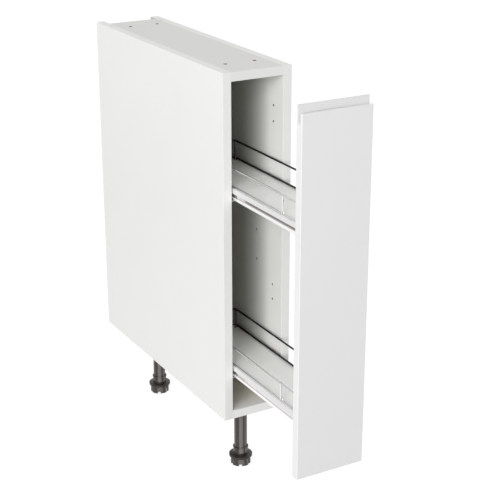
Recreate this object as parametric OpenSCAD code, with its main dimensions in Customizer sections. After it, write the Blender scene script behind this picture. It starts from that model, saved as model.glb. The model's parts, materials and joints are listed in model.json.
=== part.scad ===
// A narrow kitchen base unit. Its door is the front of a pull-out that carries two railed trays.
// Millimetres, +Z up, and the door faces -Y. The origin is on the floor, at the middle of the whole
// object as it stands with the pull-out part of the way open.

/* [Carcass] */
// Width over the two side panels
carcass_w = 150; // [145:1:170]
// Height of the side panels
carcass_h = 720; // [700:1:760]
// Depth from the front edges to the rear edges of the side panels
carcass_d = 580; // [565:1:600]
// Thickness of the side, top and bottom boards
board_t = 18; // [17:0.5:19]
// Thickness of the edging strip on each front edge
edging_t = 1; // [0.8:0.1:2]
// Thickness of the back board
back_t = 8; // [6:0.5:10]
// From the rear face of the back board to the rear edges of the side panels
service_void = 46; // [44:1:52]
// How far the back board sits into its grooves
back_bite = 7; // [5:0.5:9]
// From the rear edge of the top and bottom boards to the rear edges of the side panels
board_set_in = 30; // [25:1:35]
// Play round the back board in its grooves
groove_play = 0.25; // [0.15:0.05:0.4]

/* [Holes and dowels] */
// Diameter of the system holes in the side panels
system_hole_d = 5; // [4.8:0.1:6]
// Depth of the system holes
system_hole_deep = 12; // [10:0.5:13]
// Pitch of the system holes
system_pitch = 32; // [30:1:34]
// From the front edge of a side panel to its first row of system holes
first_row = 37; // [35:1:39]
// Height of the middle of the upper pair of front holes, over the carcass bottom
upper_pair_z = 619; // [610:1:630]
// Height of the middle of the lower pair of front holes
lower_pair_z = 245; // [235:1:255]
// Height of the middle of the wide pair of holes in the third row
wide_pair_z = 328; // [320:1:336]
// Diameter of the worktop fixing holes in the top board
worktop_hole_d = 5; // [4.5:0.1:6]
// Diameter of the countersink round each worktop fixing hole
worktop_sink_d = 8; // [7:0.1:9]
// Distance between the left and right worktop fixing holes
worktop_span_x = 64; // [60:1:68]
// From the front edge to the front worktop fixing holes
worktop_front_y = 67.5; // [60:0.5:75]
// From the front edge to the rear worktop fixing holes
worktop_rear_y = 495; // [485:1:505]
// Diameter of the wooden dowels
dowel_d = 8; // [6:0.5:8]
// Length of a dowel inside a side panel
dowel_in_side = 12; // [10:0.5:14]
// Length of a dowel inside the end of a top or bottom board
dowel_in_end = 18; // [15:0.5:22]
// Play round a dowel and at its ends
dowel_play = 0.1; // [0.05:0.05:0.2]
// From the front and rear ends of a board to its outer dowels
dowel_end_y = 50; // [40:1:60]

/* [Door] */
// How far the pull-out stands open
pull_open = 255; // [245:1:265]
// Width of the door
door_w = 146; // [142:0.5:147]
// How far the door's top edge stops below the top of the carcass
door_top_gap = 2; // [0.5:0.5:12]
// Thickness of the door
door_t = 18; // [17:0.5:20]
// Gap between the closed door and the carcass
door_gap = 2; // [1.8:0.1:3]
// Height of the door's bottom edge over the carcass bottom
door_low = 2; // [1:0.5:4]
// Thickness of the front lip of the finger pull
lip_t = 5; // [4:0.5:5.5]
// Thickness of the rear tongue of the finger pull
tongue_t = 5; // [4:0.5:5.5]
// How far the front lip stops below the tongue
lip_drop = 13.6; // [10:0.1:16]
// Depth of the finger groove below the top of the tongue
groove_deep = 33.4; // [28:0.1:38]
// Radius of the door's outer edges
door_edge_r = 1; // [0.5:0.1:1.5]
// Diameter of the soft buffers on the back of the door
buffer_d = 8; // [6:0.5:10]
// Gap left between a buffer and the carcass when the door is closed
buffer_gap = 0.3; // [0.3:0.05:0.5]

/* [Trays and galleries] */
// Length of a tray from the door bracket to its rear end
tray_len = 450; // [440:1:460]
// Thickness of a tray board
tray_t = 10; // [9:0.5:12]
// Gap between a tray and the side panel next to it
tray_gap = 4; // [3.5:0.1:5]
// Height of the lower tray's top face over the carcass bottom
lower_tray_z = 116.5; // [110:0.5:125]
// Distance from the lower tray to the upper tray
tier_step = 376; // [366:1:386]
// Diameter of the gallery wires and posts
wire_d = 4; // [3.5:0.1:4.5]
// From the side edge of a tray to the middle of the wires over it
wire_in = 2.5; // [2.3:0.1:3.5]
// Height of the top wire's middle over the tray
top_wire_z = 38.5; // [35:0.5:42]
// Radius of the gallery's rear corners, to the middle of the wire
corner_r = 12; // [9:0.5:16]
// From the rear end of a tray to the middle of the rear wire run
rear_wire_in = 12; // [8:0.5:14]
// From the front end of a tray to the front posts
front_post_y = 84.5; // [80:0.5:90]
// Diameter of the foot round each post
post_foot_d = 7; // [6:0.1:7.5]
// Height of the foot round each post
post_foot_h = 2.5; // [2:0.1:3]
// Hair gap between pieces that touch but stay separate solids
hair_gap = 0.05; // [0.03:0.01:0.08]

/* [Runners] */
// How much shorter a runner is than its tray
runner_short = 2; // [0.5:0.5:10]
// From the front edge of the carcass to the fixed runner members
fixed_set_back = 3; // [2.5:0.1:5]
// Height of a runner under its tray
runner_h = 12.6; // [12.4:0.1:14]
// Width of a tray member over its two walls
channel_w = 22; // [21.5:0.1:23]
// Thickness of the runner sheet
sheet_t = 1.2; // [1:0.05:1.25]
// From the edge of the tray to the outer wall of the runner
runner_in = 0.5; // [0.3:0.1:0.8]
// Diameter of the runner balls
ball_d = 3.2; // [3.1:0.05:3.25]
// Running clearance of a ball on its tracks
ball_play = 0.05; // [0.03:0.01:0.08]
// How far the wall above that bulge is drawn in
race_step = 1.5; // [1.3:0.1:1.6]
// Thickness of a ball cage
cage_t = 0.6; // [0.5:0.05:0.7]
// Clearance over and under the web of a ball cage
cage_play = 0.4; // [0.35:0.05:0.45]
// Balls along each side of a cage
balls_per_side = 4; // [3:1:6]
// Width of the flange that fixes a tray member to its tray
flange_w = 12; // [11:0.5:13]
// Height of the wall flange that fixes a fixed member to its side panel
wall_flange_h = 25; // [22:0.5:28]

/* [Brackets and screws] */
// Thickness of the door bracket plates
bracket_t = 2; // [1.5:0.1:2]
// How far a bracket plate stands above its top wire's middle
bracket_over_wire = 7; // [5:0.5:10]
// Length of the bracket's flange under the tray
bracket_flange_len = 40; // [35:1:45]
// Shank diameter of the screws in the runners, trays and brackets
screw_d = 4; // [3.5:0.1:4.2]
// Head diameter of those screws
screw_head_d = 7.5; // [7:0.1:8]
// Head height of those screws
screw_head_h = 1.8; // [1.5:0.1:2]
// Clearance round every screw in its hole
screw_play = 0.1; // [0.05:0.05:0.2]
// Shank diameter of the screws that fix the runners to the side panels
wall_screw_d = 4.8; // [4.5:0.1:4.9]
// Head diameter of those screws
wall_screw_head_d = 9; // [8:0.1:10]

/* [Legs] */
// Height of the carcass over the floor
leg_h = 150; // [148:0.5:160]
// From the front edge of the carcass to the front leg
front_leg_y = 69.6; // [60:0.1:80]
// From the front edge of the carcass to the rear leg
rear_leg_y = 463.4; // [450:0.1:480]
// Outer diameter of the leg tube
leg_tube_d = 27.4; // [26:0.1:29]
// Wall of the leg tube
leg_wall = 2; // [1.8:0.1:2.5]
// Outer diameter of the collar round the tube's lower end
collar_d = 31.7; // [31.2:0.1:33]
// Outer diameter of the collar's top rim
collar_rim_d = 33; // [32.5:0.1:35]
// Height of the collar
collar_h = 17.6; // [16:0.1:19]
// Diameter of the foot's grip flange
foot_flange_d = 49.4; // [46:0.1:52]
// Thickness of that flange
foot_flange_t = 4.5; // [4:0.1:5]
// Outer diameter of the castellated foot
foot_d = 42.5; // [40:0.1:44]
// Height of the castellated foot
foot_h = 17.5; // [16:0.1:19]
// Wall of the castellated foot
foot_wall = 3; // [2.5:0.1:3.5]
// Diameter of the foot's screwed stem
stem_d = 18; // [16:0.1:20]
// Length of that stem above the flange
stem_len = 75; // [65:1:80]
// Gap between the collar and the foot's flange
foot_gap = 0.4; // [0.35:0.05:0.6]
// Play between the parts of a leg
leg_play = 0.1; // [0.05:0.01:0.15]

/* [Hidden] */
$fn = 48;

// One overrun serves every cut
cut = 1;

// The whole object, front to back
total_d = carcass_d + pull_open + door_gap + door_t;
front_y = pull_open + door_gap + door_t - total_d / 2;

// The inside of the carcass
inner_w = carcass_w - 2 * board_t;
inner_x = inner_w / 2;
ceiling_z = carcass_h - board_t;
back_rear_y = carcass_d - service_void;
back_front_y = back_rear_y - back_t;
board_rear_y = carcass_d - board_set_in;
board_mid_y = (edging_t + board_rear_y) / 2;
dowel_ys = [edging_t + dowel_end_y, board_mid_y, board_rear_y - dowel_end_y];
board_zs = [board_t / 2, carcass_h - board_t / 2];
pair_zs = [upper_pair_z, lower_pair_z];
third_row = first_row + 2 * system_pitch;
edging_r_share = 0.4;
edging_r = edging_t * edging_r_share;
sink_deep = (worktop_sink_d - worktop_hole_d) / 2;

// The door
door_h = carcass_h - door_low - door_top_gap;
buffer_zs = [board_t / 2, carcass_h - board_t / 2];

// The trays, seen from the closed pull-out
tray_w = inner_w - 2 * tray_gap;
tray_x = tray_w / 2;
tray_zs = [lower_tray_z + tier_step, lower_tray_z];
wire_x = tray_x - wire_in;
post_x = wire_x - wire_d - hair_gap;
rear_wire_y = tray_len - rear_wire_in;
arc_y = rear_wire_y - corner_r;
post_ys = [front_post_y, arc_y];
bottom_wire_z = wire_d / 2 + hair_gap;
post_top_z = top_wire_z + wire_d / 4;
post_bore_share = 0.6;
post_bore_d = wire_d * post_bore_share;
post_bore_deep = 3 * wire_d;
post_foot_mid_share = 0.6;
post_foot_mid = post_foot_h * post_foot_mid_share;
post_screw_d = post_bore_d - 2 * hair_gap;
post_screw_head_d = 2 * post_screw_d;

// The runner's section, from the middle of its channel and the bottom of the tray member
runner_len = tray_len - runner_short;
channel_x = tray_x - runner_in - channel_w / 2;
tray_bottom_drop = tray_t + runner_h;
race_in = channel_w / 2 - sheet_t;
wall_in = race_in - race_step;
outer_ball_x = race_in - ball_play - ball_d / 2;
track_bite = 0.2;
middle_x = outer_ball_x - ball_d / 2 - ball_play + track_bite;
lip_len = race_in - outer_ball_x - ball_play;
race_floor = sheet_t;
outer_ball_z = race_floor + 2 * ball_play + ball_d / 2;
race_h = outer_ball_z + ball_d / 2 + 2 * ball_play + sheet_t;
web_low = runner_h - sheet_t;
middle_top = web_low - 2 * cage_play - cage_t;
middle_low = sheet_t;
middle_inner_x = middle_x - sheet_t;
inner_ball_x = middle_inner_x - ball_play - ball_d / 2;
head_x = inner_ball_x - ball_d / 2 - ball_play + track_bite;
head_top = middle_top - sheet_t - 2 * cage_play - cage_t;
head_rim_share = 1.5;
head_h = ball_d + sheet_t * head_rim_share;
inner_ball_z = head_top - head_h / 2;
stem_share = 0.7;
stem_x = sheet_t * stem_share;
base_gap_share = 1.25;
base_gap = sheet_t * base_gap_share;
wall_x = channel_x - inner_x;
track_r = ball_d / 2 + ball_play;
outer_cage_x = (middle_x + wall_in) / 2;
inner_cage_x = (middle_inner_x + head_x) / 2 - cage_t / 4;
outer_cage_low = middle_low / 2;
inner_cage_low = inner_ball_z - ball_d / 2 - cage_t;
cage_hole_r = ball_d / 2 + ball_play / 2;
cage_len = runner_len / 3;
cage_start = fixed_set_back + (runner_len - cage_len) / 2;
flange_mid_x = channel_w / 2 + flange_w / 2;
wall_flange_z = -base_gap - wall_flange_h / 2;
fixed_screw_ys = [first_row, first_row + 6 * system_pitch, first_row + 12 * system_pitch];
tray_screw_shares = [0.08, 0.5, 0.92];
tray_screw_ys = [for (share = tray_screw_shares) share * tray_len];
tray_screw_share = 0.8;
wall_screw_len = system_hole_deep - cut;
tray_screw_len = tray_t * tray_screw_share;

// How far each moving group stands out, as a share of the pull-out's travel
inner_cage_share = 0.25;
middle_share = 0.5;
outer_cage_share = 0.75;

// The door brackets
bracket_w = 2 * (wire_x + wire_d / 2);
bracket_flange_w = 2 * (channel_x - channel_w / 2 - flange_w) - 2 * cut;
bracket_screw_zs = [screw_head_d + 2 * cut, top_wire_z - screw_head_d / 2];
bracket_screw_share = 0.3;
bracket_screw_x = bracket_w * bracket_screw_share;
bracket_corner_r = screw_head_d / 2;
door_screw_share = 0.7;
door_screw_len = door_t * door_screw_share;
bracket_flange_xs = [-bracket_flange_w / 4, bracket_flange_w / 4];

// The legs
leg_ys = [front_leg_y, rear_leg_y];
leg_bore_d = leg_tube_d - 2 * leg_wall;
mount_flange_t = leg_wall;
mount_spigot_len = board_t;
foot_top_z = -leg_h + foot_h + foot_flange_t;
collar_low_z = foot_top_z + foot_gap;
collar_floor_t = 2 * leg_wall;
tube_low_z = collar_low_z + collar_floor_t + foot_gap;
rim_share = 0.75;
rim_h = leg_wall * rim_share;
leg_screw_d = 6;
leg_screw_head_d = 2 * leg_screw_d;
leg_screw_head_h = leg_screw_d / 2;
leg_screw_share = 0.7;
leg_screw_bite = board_t * leg_screw_share;
slot_w_share = 0.12;
slot_w = foot_d * slot_w_share;
tall_slot_share = 0.85;
tall_slot_h = foot_h * tall_slot_share;
notch_w_share = 0.15;
notch_w = foot_d * notch_w_share;
notch_h_share = 0.24;
notch_h = foot_h * notch_h_share;
foot_boss_d = stem_d + 2 * leg_wall;
foot_rib_t = leg_wall;
foot_rib_low = notch_h;

// Everything fixed to the carcass is placed from the carcass front and bottom
module at_carcass() translate([0, front_y, leg_h]) children();

// A group that travels with the pull-out, by a share of how far it stands open
module drawn_out(share) translate([0, front_y - share * pull_open, leg_h]) children();

// A rod along +Y, from the point given
module rod_y(p, d, len) translate(p) rotate([-90, 0, 0]) cylinder(d = d, h = len);

// A round bar along +X, from the point given
module rod_x(p, d, len) translate(p) rotate([0, 90, 0]) cylinder(d = d, h = len);

// A flat section in Y and Z, drawn out along X about the middle
module across(w) translate([-w / 2, 0, 0]) rotate([90, 0, 90]) linear_extrude(w) children();

// A flat section in X and Z, drawn out along +Y
module along(y, len) translate([0, y, 0]) mirror([0, 1, 0]) rotate([90, 0, 0]) linear_extrude(len) children();

// A rectangle with round corners
module round_rect(w, h, r) {
    translate([r, 0]) square([w - 2 * r, h]);
    translate([0, r]) square([w, h - 2 * r]);
    for (x = [r, w - r], y = [r, h - r]) translate([x, y]) circle(r);
}

// A pan-head screw that points up, with the underside of its head at the origin
module pan_screw(d, len, head_d, head_h) {
    cylinder(d = d, h = len);
    translate([0, 0, -head_h / 2]) cylinder(d = head_d, h = head_h / 2);
    translate([0, 0, -head_h]) cylinder(d1 = head_d - head_h, d2 = head_d, h = head_h / 2);
}

// The system holes of a side panel whose inner face is at x = 0 and whose board lies at -X
module system_holes() {
    for (z = pair_zs, s = [-0.5, 0.5])
        rod_x([-system_hole_deep, first_row, z + s * system_pitch], system_hole_d, system_hole_deep + cut);
    for (s = [-1, 1])
        rod_x([-system_hole_deep, third_row, wide_pair_z + s * system_pitch], system_hole_d,
              system_hole_deep + cut);
    for (y = fixed_screw_ys, z = tray_zs)
        rod_x([-system_hole_deep, y, z - tray_bottom_drop + wall_flange_z], system_hole_d,
              system_hole_deep + cut);
    for (y = dowel_ys, z = board_zs)
        rod_x([-dowel_in_side - dowel_play, y, z], dowel_d + 2 * dowel_play, dowel_in_side + cut);
}

// The left side panel, with its front edge left off for the edging
module side_panel() {
    difference() {
        translate([-inner_x - board_t, edging_t, 0]) cube([board_t, carcass_d - edging_t, carcass_h]);
        translate([-inner_x - back_bite - groove_play, back_front_y - groove_play, -cut])
            cube([back_bite + groove_play + cut, back_t + 2 * groove_play, carcass_h + 2 * cut]);
        translate([-inner_x, 0, 0]) system_holes();
    }
}

// A top or bottom board; the groove for the back is in its upper face
module level_board() {
    difference() {
        translate([-inner_x, edging_t, 0]) cube([inner_w, board_rear_y - edging_t, board_t]);
        translate([-inner_x - cut, back_front_y - groove_play, board_t - back_bite - groove_play])
            cube([inner_w + 2 * cut, back_t + 2 * groove_play, back_bite + groove_play + cut]);
        for (y = dowel_ys, side = [0, 1]) mirror([side, 0, 0])
            rod_x([-inner_x - cut, y, board_t / 2], dowel_d + 2 * dowel_play,
                  dowel_in_end + dowel_play + cut);
    }
}

module left_side_panel() color("whitesmoke") at_carcass() side_panel();

module right_side_panel() color("whitesmoke") at_carcass() mirror([1, 0, 0]) side_panel();

module top_panel() color("whitesmoke") at_carcass() {
    difference() {
        translate([0, 0, carcass_h]) mirror([0, 0, 1]) level_board();
        for (x = [-1, 1], y = [worktop_front_y, worktop_rear_y])
            translate([x * worktop_span_x / 2, y, ceiling_z - cut]) {
                cylinder(d = worktop_hole_d, h = board_t + 2 * cut);
                translate([0, 0, board_t + cut - sink_deep])
                    cylinder(d1 = worktop_hole_d, d2 = worktop_sink_d, h = sink_deep);
            }
    }
}

module bottom_panel() color("whitesmoke") at_carcass() {
    difference() {
        level_board();
        for (y = leg_ys) translate([0, y, -cut])
            cylinder(d = leg_screw_d + 2 * screw_play, h = leg_screw_bite + screw_play + cut);
    }
}

module back_panel() color("gainsboro") at_carcass()
    translate([-inner_x - back_bite, back_front_y, board_t - back_bite])
        cube([inner_w + 2 * back_bite, back_t, ceiling_z - board_t + 2 * back_bite]);

// One edging strip: its front arrises are rounded, and its back is flat on the board
module edging(w, h) {
    linear_extrude(h) {
        translate([edging_r, 0]) square([w - 2 * edging_r, edging_t]);
        translate([0, edging_r]) square([w, edging_t - edging_r]);
        for (x = [edging_r, w - edging_r]) translate([x, edging_r]) circle(edging_r);
    }
}

module front_edging() color("white") at_carcass() {
    for (x = [-inner_x - board_t, inner_x]) translate([x, 0, 0]) edging(board_t, carcass_h);
    for (z = [board_t, carcass_h]) translate([-inner_x + hair_gap, 0, z]) rotate([0, 90, 0])
        edging(board_t, inner_w - 2 * hair_gap);
}

module carcass_dowels() color("burlywood") at_carcass()
    for (side = [0, 1], y = dowel_ys, z = board_zs) mirror([side, 0, 0])
        rod_x([-inner_x - dowel_in_side, y, z], dowel_d, dowel_in_side + dowel_in_end);

// The plug that holds a leg under the bottom board
module leg_mount(y) at_carcass() translate([0, y, 0]) difference() {
    union() {
        translate([0, 0, -mount_flange_t]) cylinder(d = leg_tube_d, h = mount_flange_t);
        translate([0, 0, -mount_flange_t - mount_spigot_len])
            cylinder(d = leg_bore_d - 2 * leg_play, h = mount_spigot_len + mount_flange_t);
    }
    translate([0, 0, -mount_flange_t - mount_spigot_len - cut])
        cylinder(d = leg_screw_d + 2 * screw_play, h = mount_flange_t + mount_spigot_len + 2 * cut);
}

module front_leg_mount() color("dimgray") leg_mount(front_leg_y);

module rear_leg_mount() color("dimgray") leg_mount(rear_leg_y);

// A screw comes up through each plug from inside the leg and ends inside the bottom board
module leg_mount_screws() color("silver") at_carcass()
    for (y = leg_ys) translate([0, y, -mount_flange_t - mount_spigot_len])
        pan_screw(leg_screw_d, mount_spigot_len + mount_flange_t + leg_screw_bite,
                  leg_screw_head_d, leg_screw_head_h);

module leg_tube(y) at_carcass() translate([0, y, tube_low_z]) difference() {
    cylinder(d = leg_tube_d, h = -mount_flange_t - tube_low_z);
    translate([0, 0, -cut]) cylinder(d = leg_bore_d, h = 2 * cut - mount_flange_t - tube_low_z);
}

module front_leg_tube() color("dimgray") leg_tube(front_leg_y);

module rear_leg_tube() color("dimgray") leg_tube(rear_leg_y);

// The collar closes the tube's lower end and is the nut for the foot's stem
module leg_collar(y) at_carcass() translate([0, y, collar_low_z]) difference() {
    union() {
        cylinder(d = collar_d, h = collar_h);
        translate([0, 0, collar_h - rim_h]) cylinder(d = collar_rim_d, h = rim_h);
        translate([0, 0, collar_h - 2 * rim_h]) cylinder(d1 = collar_d, d2 = collar_rim_d, h = rim_h);
    }
    translate([0, 0, collar_floor_t]) cylinder(d = leg_tube_d + 2 * leg_play, h = collar_h);
    translate([0, 0, -cut]) cylinder(d = stem_d + 2 * leg_play, h = collar_h);
}

module front_leg_collar() color("dimgray") leg_collar(front_leg_y);

module rear_leg_collar() color("dimgray") leg_collar(rear_leg_y);

// The foot: a hollow castellated cup under a grip flange, with a stem that screws up into the leg
module foot(y) at_carcass() translate([0, y, -leg_h]) {
    difference() {
        union() {
            cylinder(d = foot_d, h = foot_h);
            translate([0, 0, foot_h]) cylinder(d = foot_flange_d, h = foot_flange_t);
            translate([0, 0, foot_h + foot_flange_t]) cylinder(d = stem_d, h = stem_len);
        }
        difference() {
            translate([0, 0, -cut]) cylinder(d = foot_d - 2 * foot_wall, h = foot_h + cut);
            translate([0, 0, foot_rib_low]) {
                cylinder(d = foot_boss_d, h = foot_h);
                for (a = [0 : 60 : 120]) rotate(a + 30)
                    translate([-foot_d / 2, -foot_rib_t / 2, 0]) cube([foot_d, foot_rib_t, foot_h]);
            }
        }
        translate([0, 0, foot_rib_low - cut])
            cylinder(d = stem_d - 2 * leg_wall, h = foot_h + foot_flange_t + stem_len + 2 * cut);
        for (a = [60 : 120 : 300]) rotate(a) translate([foot_d / 2 - foot_wall - cut, -slot_w / 2, -cut])
            cube([foot_wall + 2 * cut, slot_w, tall_slot_h + cut]);
        for (a = [0 : 120 : 240]) rotate(a) translate([foot_d / 2 - foot_wall - cut, -notch_w / 2, -cut])
            cube([foot_wall + 2 * cut, notch_w, notch_h + cut]);
    }
}

module front_foot() color("dimgray") foot(front_leg_y);

module rear_foot() color("dimgray") foot(rear_leg_y);

// Puts a left-hand runner piece under a tray, on the side asked for: 0 left, 1 right
module at_runner(side, tray_z) mirror([side, 0, 0]) translate([-channel_x, 0, tray_z - tray_bottom_drop])
    children();

// One runner section is the same on both sides of its channel
module both_walls() {
    children();
    mirror([1, 0]) children();
}

// The tray member's section: a channel open below, with a bulged race at the foot of each wall
module tray_member_section() {
    translate([-channel_w / 2 + race_step, web_low]) square([channel_w - 2 * race_step, sheet_t]);
    translate([channel_w / 2 - race_step - sheet_t, web_low])
        square([flange_w + race_step + sheet_t, sheet_t]);
    both_walls() {
        translate([race_in, 0]) square([sheet_t, race_h]);
        translate([race_in - lip_len, 0]) square([lip_len + sheet_t, sheet_t]);
        translate([wall_in, race_h - sheet_t]) square([race_step + sheet_t, sheet_t]);
        translate([wall_in, race_h - sheet_t]) square([sheet_t, runner_h - race_h + sheet_t]);
    }
}

module tray_member(side, tray_z) drawn_out(1) at_runner(side, tray_z) difference() {
    along(0, runner_len) tray_member_section();
    for (y = tray_screw_ys) translate([flange_mid_x, y, web_low - cut])
        cylinder(d = screw_d + 2 * screw_play, h = sheet_t + 2 * cut);
}

// The middle member's section: a narrower channel that runs inside the tray member
module middle_member_section() {
    difference() {
        union() {
            translate([-middle_x, middle_top - sheet_t]) square([2 * middle_x, sheet_t]);
            both_walls() {
                translate([middle_inner_x, middle_low]) square([sheet_t, middle_top - middle_low]);
                translate([middle_inner_x - sheet_t, middle_low]) square([2 * sheet_t, sheet_t]);
            }
        }
        both_walls() translate([outer_ball_x, outer_ball_z]) circle(track_r);
    }
}

module middle_member(side, tray_z) drawn_out(middle_share) at_runner(side, tray_z)
    along(fixed_set_back, runner_len) middle_member_section();

// The fixed member's section: a rail head on a stem, a base under the tray member, and a wall flange
module fixed_member_section() {
    difference() {
        translate([-head_x, head_top - head_h]) square([2 * head_x, head_h]);
        both_walls() translate([inner_ball_x, inner_ball_z]) circle(track_r);
    }
    translate([-stem_x, -base_gap - sheet_t])
        square([2 * stem_x, head_top - head_h + base_gap + 2 * sheet_t]);
    translate([wall_x, -base_gap - sheet_t]) square([stem_x - wall_x, sheet_t]);
    translate([wall_x, -base_gap - wall_flange_h]) square([sheet_t, wall_flange_h]);
}

module fixed_member(side, tray_z) at_carcass() at_runner(side, tray_z) difference() {
    along(fixed_set_back, runner_len) fixed_member_section();
    for (y = fixed_screw_ys)
        rod_x([wall_x - cut, y, wall_flange_z], wall_screw_d + 2 * screw_play, sheet_t + 2 * cut);
}

// A ball cage: a strip folded over the member that it rides on, with a hole for each ball
module cage(y, x, low, top, ball_z) {
    difference() {
        along(y, cage_len) difference() {
            translate([-x - cage_t / 2, low]) square([2 * x + cage_t, top + cage_t - low]);
            translate([-x + cage_t / 2, low - cut]) square([2 * x - cage_t, top + cut - low]);
        }
        for (i = [0 : balls_per_side - 1])
            rod_x([-x - cage_t, ball_y(y, i), ball_z], 2 * cage_hole_r, 2 * x + 2 * cage_t);
    }
}

function ball_y(y, i) = y + cage_len * (i + 0.5) / balls_per_side;

module balls(y, x, ball_z) for (i = [0 : balls_per_side - 1], s = [-1, 1])
    translate([s * x, ball_y(y, i), ball_z]) sphere(d = ball_d);

module inner_cage(side, tray_z) drawn_out(inner_cage_share) at_runner(side, tray_z)
    cage(cage_start, inner_cage_x, inner_cage_low, head_top + cage_play, inner_ball_z);

module outer_cage(side, tray_z) drawn_out(outer_cage_share) at_runner(side, tray_z)
    cage(cage_start, outer_cage_x, outer_cage_low, middle_top + cage_play, outer_ball_z);

module upper_left_fixed_member() color("silver") fixed_member(0, tray_zs[0]);
module upper_right_fixed_member() color("silver") fixed_member(1, tray_zs[0]);
module lower_left_fixed_member() color("silver") fixed_member(0, tray_zs[1]);
module lower_right_fixed_member() color("silver") fixed_member(1, tray_zs[1]);

module upper_left_middle_member() color("lightgray") middle_member(0, tray_zs[0]);
module upper_right_middle_member() color("lightgray") middle_member(1, tray_zs[0]);
module lower_left_middle_member() color("lightgray") middle_member(0, tray_zs[1]);
module lower_right_middle_member() color("lightgray") middle_member(1, tray_zs[1]);

module upper_left_tray_member() color("silver") tray_member(0, tray_zs[0]);
module upper_right_tray_member() color("silver") tray_member(1, tray_zs[0]);
module lower_left_tray_member() color("silver") tray_member(0, tray_zs[1]);
module lower_right_tray_member() color("silver") tray_member(1, tray_zs[1]);

module upper_left_inner_cage() color("darkgray") inner_cage(0, tray_zs[0]);
module upper_right_inner_cage() color("darkgray") inner_cage(1, tray_zs[0]);
module lower_left_inner_cage() color("darkgray") inner_cage(0, tray_zs[1]);
module lower_right_inner_cage() color("darkgray") inner_cage(1, tray_zs[1]);

module upper_left_outer_cage() color("darkgray") outer_cage(0, tray_zs[0]);
module upper_right_outer_cage() color("darkgray") outer_cage(1, tray_zs[0]);
module lower_left_outer_cage() color("darkgray") outer_cage(0, tray_zs[1]);
module lower_right_outer_cage() color("darkgray") outer_cage(1, tray_zs[1]);

module inner_balls() color("slategray") drawn_out(inner_cage_share)
    for (side = [0, 1], z = tray_zs) at_runner(side, z) balls(cage_start, inner_ball_x, inner_ball_z);

module outer_balls() color("slategray") drawn_out(outer_cage_share)
    for (side = [0, 1], z = tray_zs) at_runner(side, z) balls(cage_start, outer_ball_x, outer_ball_z);

module fixed_member_screws() color("silver") at_carcass()
    for (side = [0, 1], z = tray_zs, y = fixed_screw_ys) at_runner(side, z)
        translate([wall_x + sheet_t, y, wall_flange_z]) rotate([0, -90, 0])
            pan_screw(wall_screw_d, wall_screw_len + sheet_t, wall_screw_head_d, screw_head_h);

module tray_member_screws() color("silver") drawn_out(1)
    for (side = [0, 1], z = tray_zs, y = tray_screw_ys) at_runner(side, z)
        translate([flange_mid_x, y, web_low])
            pan_screw(screw_d, sheet_t + tray_screw_len, screw_head_d, screw_head_h);

// A tray board with its pilot holes
module tray(tray_z) drawn_out(1) translate([0, 0, tray_z - tray_t]) difference() {
    translate([-tray_x, 0, 0]) cube([tray_w, tray_len, tray_t]);
    for (side = [0, 1], y = tray_screw_ys) mirror([side, 0, 0])
        translate([flange_mid_x - channel_x, y, -cut])
            cylinder(d = screw_d + 2 * screw_play, h = tray_screw_len + screw_play + cut);
    for (side = [0, 1], y = post_ys) mirror([side, 0, 0]) translate([post_x, y, -cut]) {
        cylinder(d = post_bore_d, h = tray_t + 2 * cut);
        cylinder(d = post_screw_head_d + 2 * hair_gap, h = cut);
        translate([0, 0, cut])
            cylinder(d1 = post_screw_head_d + 2 * hair_gap, d2 = post_bore_d, h = post_screw_d / 2);
    }
    for (x = bracket_flange_xs) translate([x, bracket_flange_len / 2, -cut])
        cylinder(d = screw_d + 2 * screw_play, h = tray_screw_len + screw_play + cut);
}

module upper_tray() color("white") tray(tray_zs[0]);

module lower_tray() color("white") tray(tray_zs[1]);

// A gallery wire: down both sides of the tray and round its rear end
module wire(z) {
    for (side = [0, 1]) mirror([side, 0, 0]) {
        rod_y([wire_x, 0, z], wire_d, arc_y);
        translate([wire_x - corner_r, arc_y, z]) rotate_extrude(angle = 90)
            translate([corner_r, 0]) circle(d = wire_d);
    }
    rod_x([-wire_x + corner_r, rear_wire_y, z], wire_d, 2 * (wire_x - corner_r));
}

module upper_top_wire() color("silver") drawn_out(1) wire(tray_zs[0] + top_wire_z);

module lower_top_wire() color("silver") drawn_out(1) wire(tray_zs[1] + top_wire_z);

module upper_bottom_wire() color("silver") drawn_out(1) wire(tray_zs[0] + bottom_wire_z);

module lower_bottom_wire() color("silver") drawn_out(1) wire(tray_zs[1] + bottom_wire_z);

// The posts stand inside the wires, each on a round foot with its screw's bore
module posts(tray_z) drawn_out(1) for (side = [0, 1], y = post_ys) mirror([side, 0, 0])
    translate([post_x, y, tray_z]) difference() {
        union() {
            cylinder(d = wire_d, h = post_top_z);
            intersection() {
                union() {
                    cylinder(d = post_foot_d, h = post_foot_mid);
                    translate([0, 0, post_foot_mid])
                        cylinder(d1 = post_foot_d, d2 = post_foot_d - 2 * (post_foot_h - post_foot_mid),
                                 h = post_foot_h - post_foot_mid);
                }
                translate([-post_foot_d, -post_foot_d, 0])
                    cube([post_foot_d + wire_d / 2 + hair_gap / 2, 2 * post_foot_d, post_foot_h]);
            }
        }
        translate([0, 0, -cut]) cylinder(d = post_bore_d, h = post_bore_deep + cut);
    }

module upper_posts() color("silver") posts(tray_zs[0]);

module lower_posts() color("silver") posts(tray_zs[1]);

// A countersunk screw comes up through the tray into each post
module post_screws() color("silver") drawn_out(1)
    for (side = [0, 1], z = tray_zs, y = post_ys) mirror([side, 0, 0]) translate([post_x, y, z - tray_t]) {
        cylinder(d = post_screw_d, h = tray_t + post_bore_deep - screw_play);
        cylinder(d1 = post_screw_head_d, d2 = post_screw_d, h = post_screw_d / 2);
    }

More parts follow.
